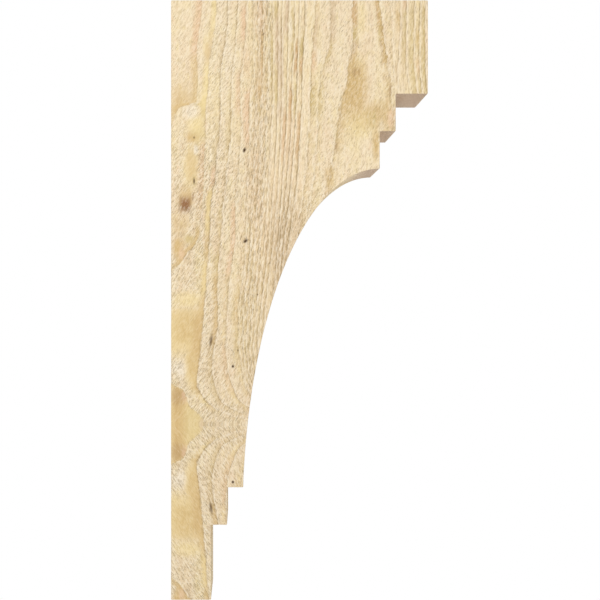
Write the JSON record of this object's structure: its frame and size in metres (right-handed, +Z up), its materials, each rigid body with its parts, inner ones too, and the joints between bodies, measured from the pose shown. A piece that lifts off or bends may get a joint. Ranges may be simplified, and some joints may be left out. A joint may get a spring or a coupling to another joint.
{
  "type": "wooden corbel bracket",
  "caption": "Rough-sawn fir corbel with a flat wall face and top, square steps and a long elliptical cove, to carry an eave, beam or shelf.",
  "frame": {"origin": "middle of the flat wall face, at half its height and half the plank's thickness", "axes": "+X out from the wall, towards the nose; +Y across the plank's thickness; +Z up, towards the top that carries the load"},
  "size_m": [0.3048, 0.0888, 0.7112],
  "materials": {
    "fir": "matte"
  },
  "bodies": {
    "root": {"corbel": "fir"}
  },
  "joints": []
}
